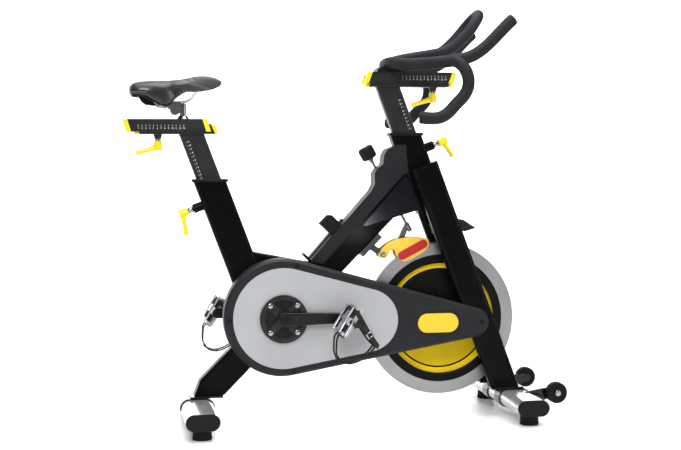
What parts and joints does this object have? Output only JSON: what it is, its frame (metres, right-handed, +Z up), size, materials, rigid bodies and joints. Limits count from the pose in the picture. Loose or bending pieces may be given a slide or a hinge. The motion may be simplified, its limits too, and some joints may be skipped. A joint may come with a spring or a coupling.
{
  "type": "spin bike",
  "caption": "Indoor spin bike: belt-driven flywheel, push-knob friction brake, sliding seat and handlebar posts, toe-clip pedals, levelling feet, transport wheels.",
  "frame": {"origin": "floor level, at the middle of the overall length and width", "axes": "+X towards the handlebar end, +Y to the rider's left, +Z up"},
  "size_m": [1.2455, 0.494, 1.1775],
  "materials": {
    "frame_black": "gloss",
    "silver_paint": "satin",
    "post_grey": "satin",
    "guard_plastic": "fine texture",
    "panel_grey": "satin",
    "yellow_plastic": "gloss",
    "brake_yellow": "satin",
    "brake_red": "gloss",
    "black_plastic": "satin",
    "black_rubber": "matte",
    "grip_rubber": "matte",
    "belt_rubber": "matte",
    "bolt_steel": "brushed",
    "bright_steel": "polished",
    "crank_black": "black satin",
    "pedal_alloy": "satin",
    "flywheel_iron": "machined and painted",
    "pulley_iron": "machined",
    "saddle_leather": "satin"
  },
  "bodies": {
    "frame": {"rear_stabilizer": "silver_paint", "front_stabilizer": "silver_paint", "stabilizer_end_caps": "black_plastic", "main_tube": "frame_black", "seat_tube": "frame_black", "strut_tube": "frame_black", "head_tube": "frame_black", "fork_legs": "frame_black", "frame_plates": "frame_black", "guard_outer": "guard_plastic", "guard_inner": "guard_plastic", "guard_panel": "panel_grey", "guard_badge": "yellow_plastic", "down_tube_cover": "guard_plastic", "bottle_cage": "black_plastic", "tube_collars": "black_plastic", "brake_bracket": "bolt_steel", "frame_bolts": "bolt_steel", "drive_belt": "belt_rubber", "sweat_guard": "guard_plastic"},
    "flywheel": {"flywheel": "flywheel_iron", "flywheel_pulley": "pulley_iron"},
    "crank": {"crank_spindle": "bright_steel", "drive_pulley": "pulley_iron", "crank_spider": "crank_black", "crank_arm_right": "crank_black", "crank_arm_left": "crank_black"},
    "pedal_right": {"pedal_body_right": "pedal_alloy", "toe_clip_right": "black_plastic"},
    "pedal_left": {"pedal_body_left": "pedal_alloy", "toe_clip_left": "black_plastic"},
    "seat_post": {"seat_post": "post_grey", "seat_rail_caps": "yellow_plastic"},
    "seat_slider": {"seat_slider": "post_grey", "seat_slider_caps": "yellow_plastic", "saddle_pillar": "bright_steel"},
    "saddle": {"saddle_rails": "bright_steel", "saddle_shell": "black_plastic", "saddle_cushion": "saddle_leather"},
    "bar_post": {"bar_post": "post_grey", "bar_rail_caps": "yellow_plastic"},
    "bar_slider": {"bar_slider": "post_grey", "bar_slider_caps": "yellow_plastic", "handlebar_clamp": "black_plastic", "handlebar_arms": "grip_rubber", "handlebar_drops": "grip_rubber"},
    "seat_lever": {"seat_lever": "yellow_plastic"},
    "bar_lever": {"bar_lever": "yellow_plastic"},
    "seat_post_lever": {"seat_post_lever": "yellow_plastic"},
    "bar_post_lever": {"bar_post_lever": "yellow_plastic"},
    "knob_rod": {"knob_rod": "bright_steel"},
    "tension_knob": {"tension_knob": "black_plastic"},
    "brake_arm": {"brake_arm": "brake_yellow", "brake_insert": "brake_red"},
    "wheel_right": {"transport_wheel_right": "black_rubber"},
    "wheel_left": {"transport_wheel_left": "black_rubber"},
    "foot_rear_right": {"foot_rear_right": "black_rubber"},
    "foot_rear_left": {"foot_rear_left": "black_rubber"},
    "foot_front_right": {"foot_front_right": "black_rubber"},
    "foot_front_left": {"foot_front_left": "black_rubber"}
  },
  "joints": [
    {"name": "flywheel_spin", "type": "hinge", "parent": "frame", "child": "flywheel", "pos_m": [0.282, 0, 0.282], "axis": [0, 1, 0], "continuous": true},
    {"name": "crank_spin", "type": "hinge", "parent": "frame", "child": "crank", "pos_m": [-0.187, 0, 0.301], "axis": [0, 1, 0], "continuous": true},
    {"name": "pedal_right_spin", "type": "hinge", "parent": "crank", "child": "pedal_right", "pos_m": [-0.017, -0.16, 0.301], "axis": [0, 1, 0], "continuous": true},
    {"name": "pedal_left_spin", "type": "hinge", "parent": "crank", "child": "pedal_left", "pos_m": [-0.357, 0.16, 0.301], "axis": [0, 1, 0], "continuous": true},
    {"name": "seat_height", "type": "slide", "parent": "frame", "child": "seat_post", "axis": [-0.3469, 0, 0.9379], "range_m": [-0.1, 0.12]},
    {"name": "seat_fore_aft", "type": "slide", "parent": "seat_post", "child": "seat_slider", "axis": [1, 0, 0], "range_m": [-0.05, 0.05]},
    {"name": "saddle_tilt", "type": "hinge", "parent": "seat_slider", "child": "saddle", "pos_m": [-0.4766, 0, 0.885], "axis": [0, 1, 0], "range_deg": [-12, 12]},
    {"name": "bar_height", "type": "slide", "parent": "frame", "child": "bar_post", "axis": [-0.342, 0, 0.9397], "range_m": [-0.06, 0.1]},
    {"name": "bar_fore_aft", "type": "slide", "parent": "bar_post", "child": "bar_slider", "axis": [1, 0, 0], "range_m": [-0.05, 0.05]},
    {"name": "seat_lever_turn", "type": "hinge", "parent": "seat_post", "child": "seat_lever", "pos_m": [-0.525, 0, 0.786], "axis": [0, 0, 1], "range_deg": [-90, 90]},
    {"name": "bar_lever_turn", "type": "hinge", "parent": "bar_post", "child": "bar_lever", "pos_m": [0.266, 0, 0.923], "axis": [0, 0, 1], "range_deg": [-90, 90]},
    {"name": "seat_post_lever_turn", "type": "hinge", "parent": "frame", "child": "seat_post_lever", "pos_m": [-0.45232, 0, 0.59958], "axis": [-0.9379, 0, -0.3469], "range_deg": [-90, 90]},
    {"name": "bar_post_lever_turn", "type": "hinge", "parent": "frame", "child": "bar_post_lever", "pos_m": [0.28979, 0, 0.79411], "axis": [0.9397, 0, 0.342], "range_deg": [-90, 90]},
    {"name": "brake_push", "type": "slide", "parent": "frame", "child": "knob_rod", "axis": [0.487, 0, -0.8734], "range_m": [0, 0.01], "stiffness_N_per_m": 3000, "springref_m": -0.005},
    {"name": "tension_turn", "type": "hinge", "parent": "knob_rod", "child": "tension_knob", "pos_m": [0.071, 0, 0.763], "axis": [0.487, 0, -0.8734], "range_deg": [0, 1440]},
    {"name": "brake_arm_swing", "type": "hinge", "parent": "frame", "child": "brake_arm", "pos_m": [0.11, 0, 0.472], "axis": [0, 1, 0], "range_deg": [0, 9]},
    {"name": "wheel_right_spin", "type": "hinge", "parent": "frame", "child": "wheel_right", "pos_m": [0.593, -0.136, 0.073], "axis": [0, 1, 0], "continuous": true},
    {"name": "wheel_left_spin", "type": "hinge", "parent": "frame", "child": "wheel_left", "pos_m": [0.593, 0.136, 0.073], "axis": [0, 1, 0], "continuous": true},
    {"name": "foot_rear_right_thread", "type": "slide", "parent": "frame", "child": "foot_rear_right", "axis": [0, 0, -1], "range_m": [0, 0.01]},
    {"name": "foot_rear_left_thread", "type": "slide", "parent": "frame", "child": "foot_rear_left", "axis": [0, 0, -1], "range_m": [0, 0.01]},
    {"name": "foot_front_right_thread", "type": "slide", "parent": "frame", "child": "foot_front_right", "axis": [0, 0, -1], "range_m": [0, 0.01]},
    {"name": "foot_front_left_thread", "type": "slide", "parent": "frame", "child": "foot_front_left", "axis": [0, 0, -1], "range_m": [0, 0.01]}
  ],
  "couplings": [
    {"joint": "crank_spin", "follows": "flywheel_spin", "ratio": 0.28571},
    {"joint": "brake_arm_swing", "follows": "brake_push", "rad_per_m": 15.5}
  ]
}
